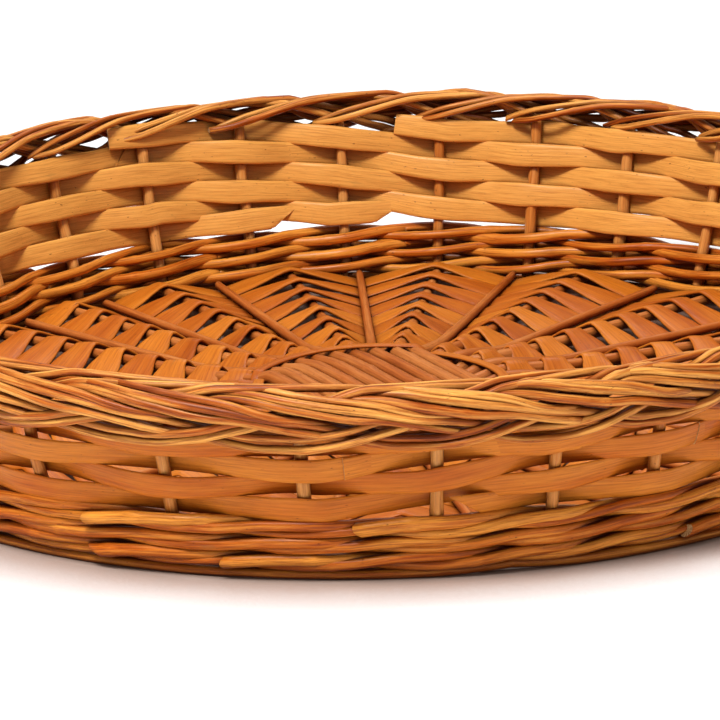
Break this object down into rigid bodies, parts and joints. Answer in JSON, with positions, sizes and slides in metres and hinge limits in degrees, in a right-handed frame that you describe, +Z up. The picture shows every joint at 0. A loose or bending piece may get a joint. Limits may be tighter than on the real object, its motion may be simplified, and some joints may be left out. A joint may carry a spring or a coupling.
{
  "type": "winnowing basket",
  "caption": "Shallow round open tray basket woven from willow rods and flat splints, with a star-patterned floor and a plaited rim, for tossing grain",
  "frame": {"origin": "on the ground, under the centre of the basket", "axes": "+Z up, out of the open mouth; the basket is round, so X and Y are free"},
  "size_m": [0.4192, 0.4188, 0.0704],
  "materials": {
    "base_stick": "varnished willow, brown-orange",
    "floor_splint": "varnished split willow, honey orange",
    "wale_rod": "glossy varnished willow, orange-brown",
    "stake": "glossy varnished willow, pinkish tan",
    "wall_splint": "varnished split willow, honey tan",
    "border_rod": "glossy varnished willow, orange-brown"
  },
  "bodies": {
    "root": {"base_sticks_lower": "base_stick", "base_sticks_upper": "base_stick", "slath_binding": "floor_splint", "floor_splint_1": "floor_splint", "floor_splint_2": "floor_splint", "floor_splint_3": "floor_splint", "floor_splint_4": "floor_splint", "floor_splint_5": "floor_splint", "floor_splint_6": "floor_splint", "floor_splint_7": "floor_splint", "floor_splint_8": "floor_splint", "floor_splint_9": "floor_splint", "foot_rod": "wale_rod", "wale_course_1": "wale_rod", "wale_course_2": "wale_rod", "wale_course_3": "wale_rod", "stakes_even": "stake", "stakes_odd": "stake", "wall_splint_1": "wall_splint", "wall_splint_2": "wall_splint", "wall_splint_3": "wall_splint", "wall_splint_4": "wall_splint", "wall_splint_5": "wall_splint", "border_rods_1": "border_rod", "border_rods_2": "border_rod", "border_rods_3": "border_rod", "border_rods_4": "border_rod", "border_rods_5": "border_rod", "border_rods_6": "border_rod"}
  },
  "joints": []
}
